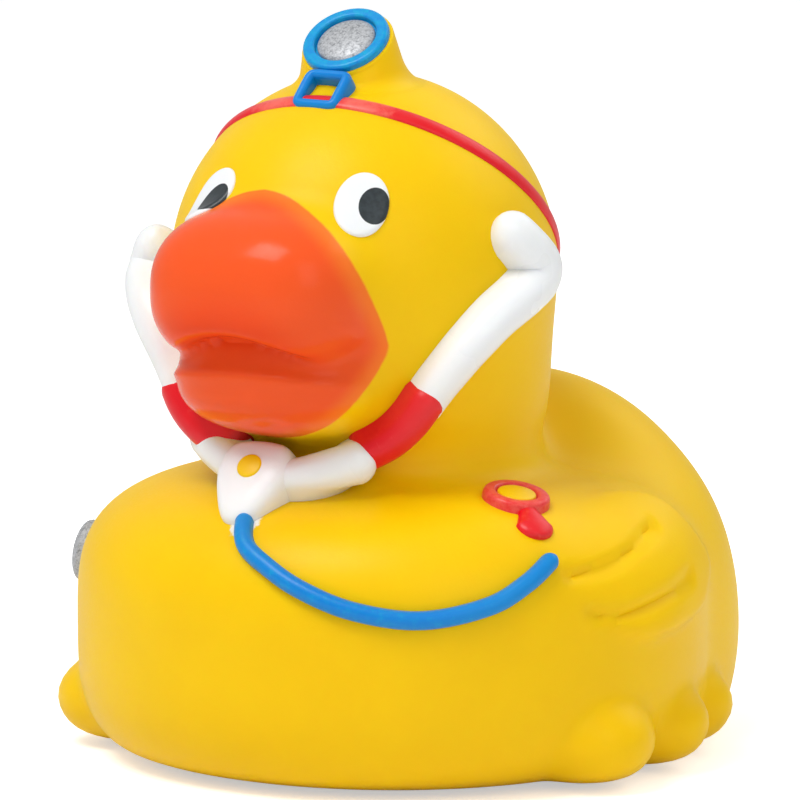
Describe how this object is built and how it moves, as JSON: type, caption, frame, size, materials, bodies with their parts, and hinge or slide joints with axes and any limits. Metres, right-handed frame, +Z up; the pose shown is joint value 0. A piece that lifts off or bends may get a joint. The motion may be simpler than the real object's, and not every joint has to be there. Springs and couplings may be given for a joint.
{
  "type": "rubber duck",
  "caption": "Hollow soft vinyl bath duck in doctor dress: raised head mirror, headband, stethoscope, orange bill, wings, toes and a squeaker in its flat base.",
  "frame": {"origin": "on the surface it rests on, under the middle of its box", "axes": "+Z up, the body faces -Y, +X to its left side; the head and feet are turned 11 degrees towards +X"},
  "size_m": [0.076, 0.0801, 0.0845],
  "materials": {
    "yellow_vinyl": "satin soft vinyl, painted bill, eyes and doctor's things",
    "squeaker_plastic": "plain moulded"
  },
  "bodies": {
    "root": {"duck_body": "yellow_vinyl", "squeaker_plug": "squeaker_plastic"}
  },
  "joints": []
}
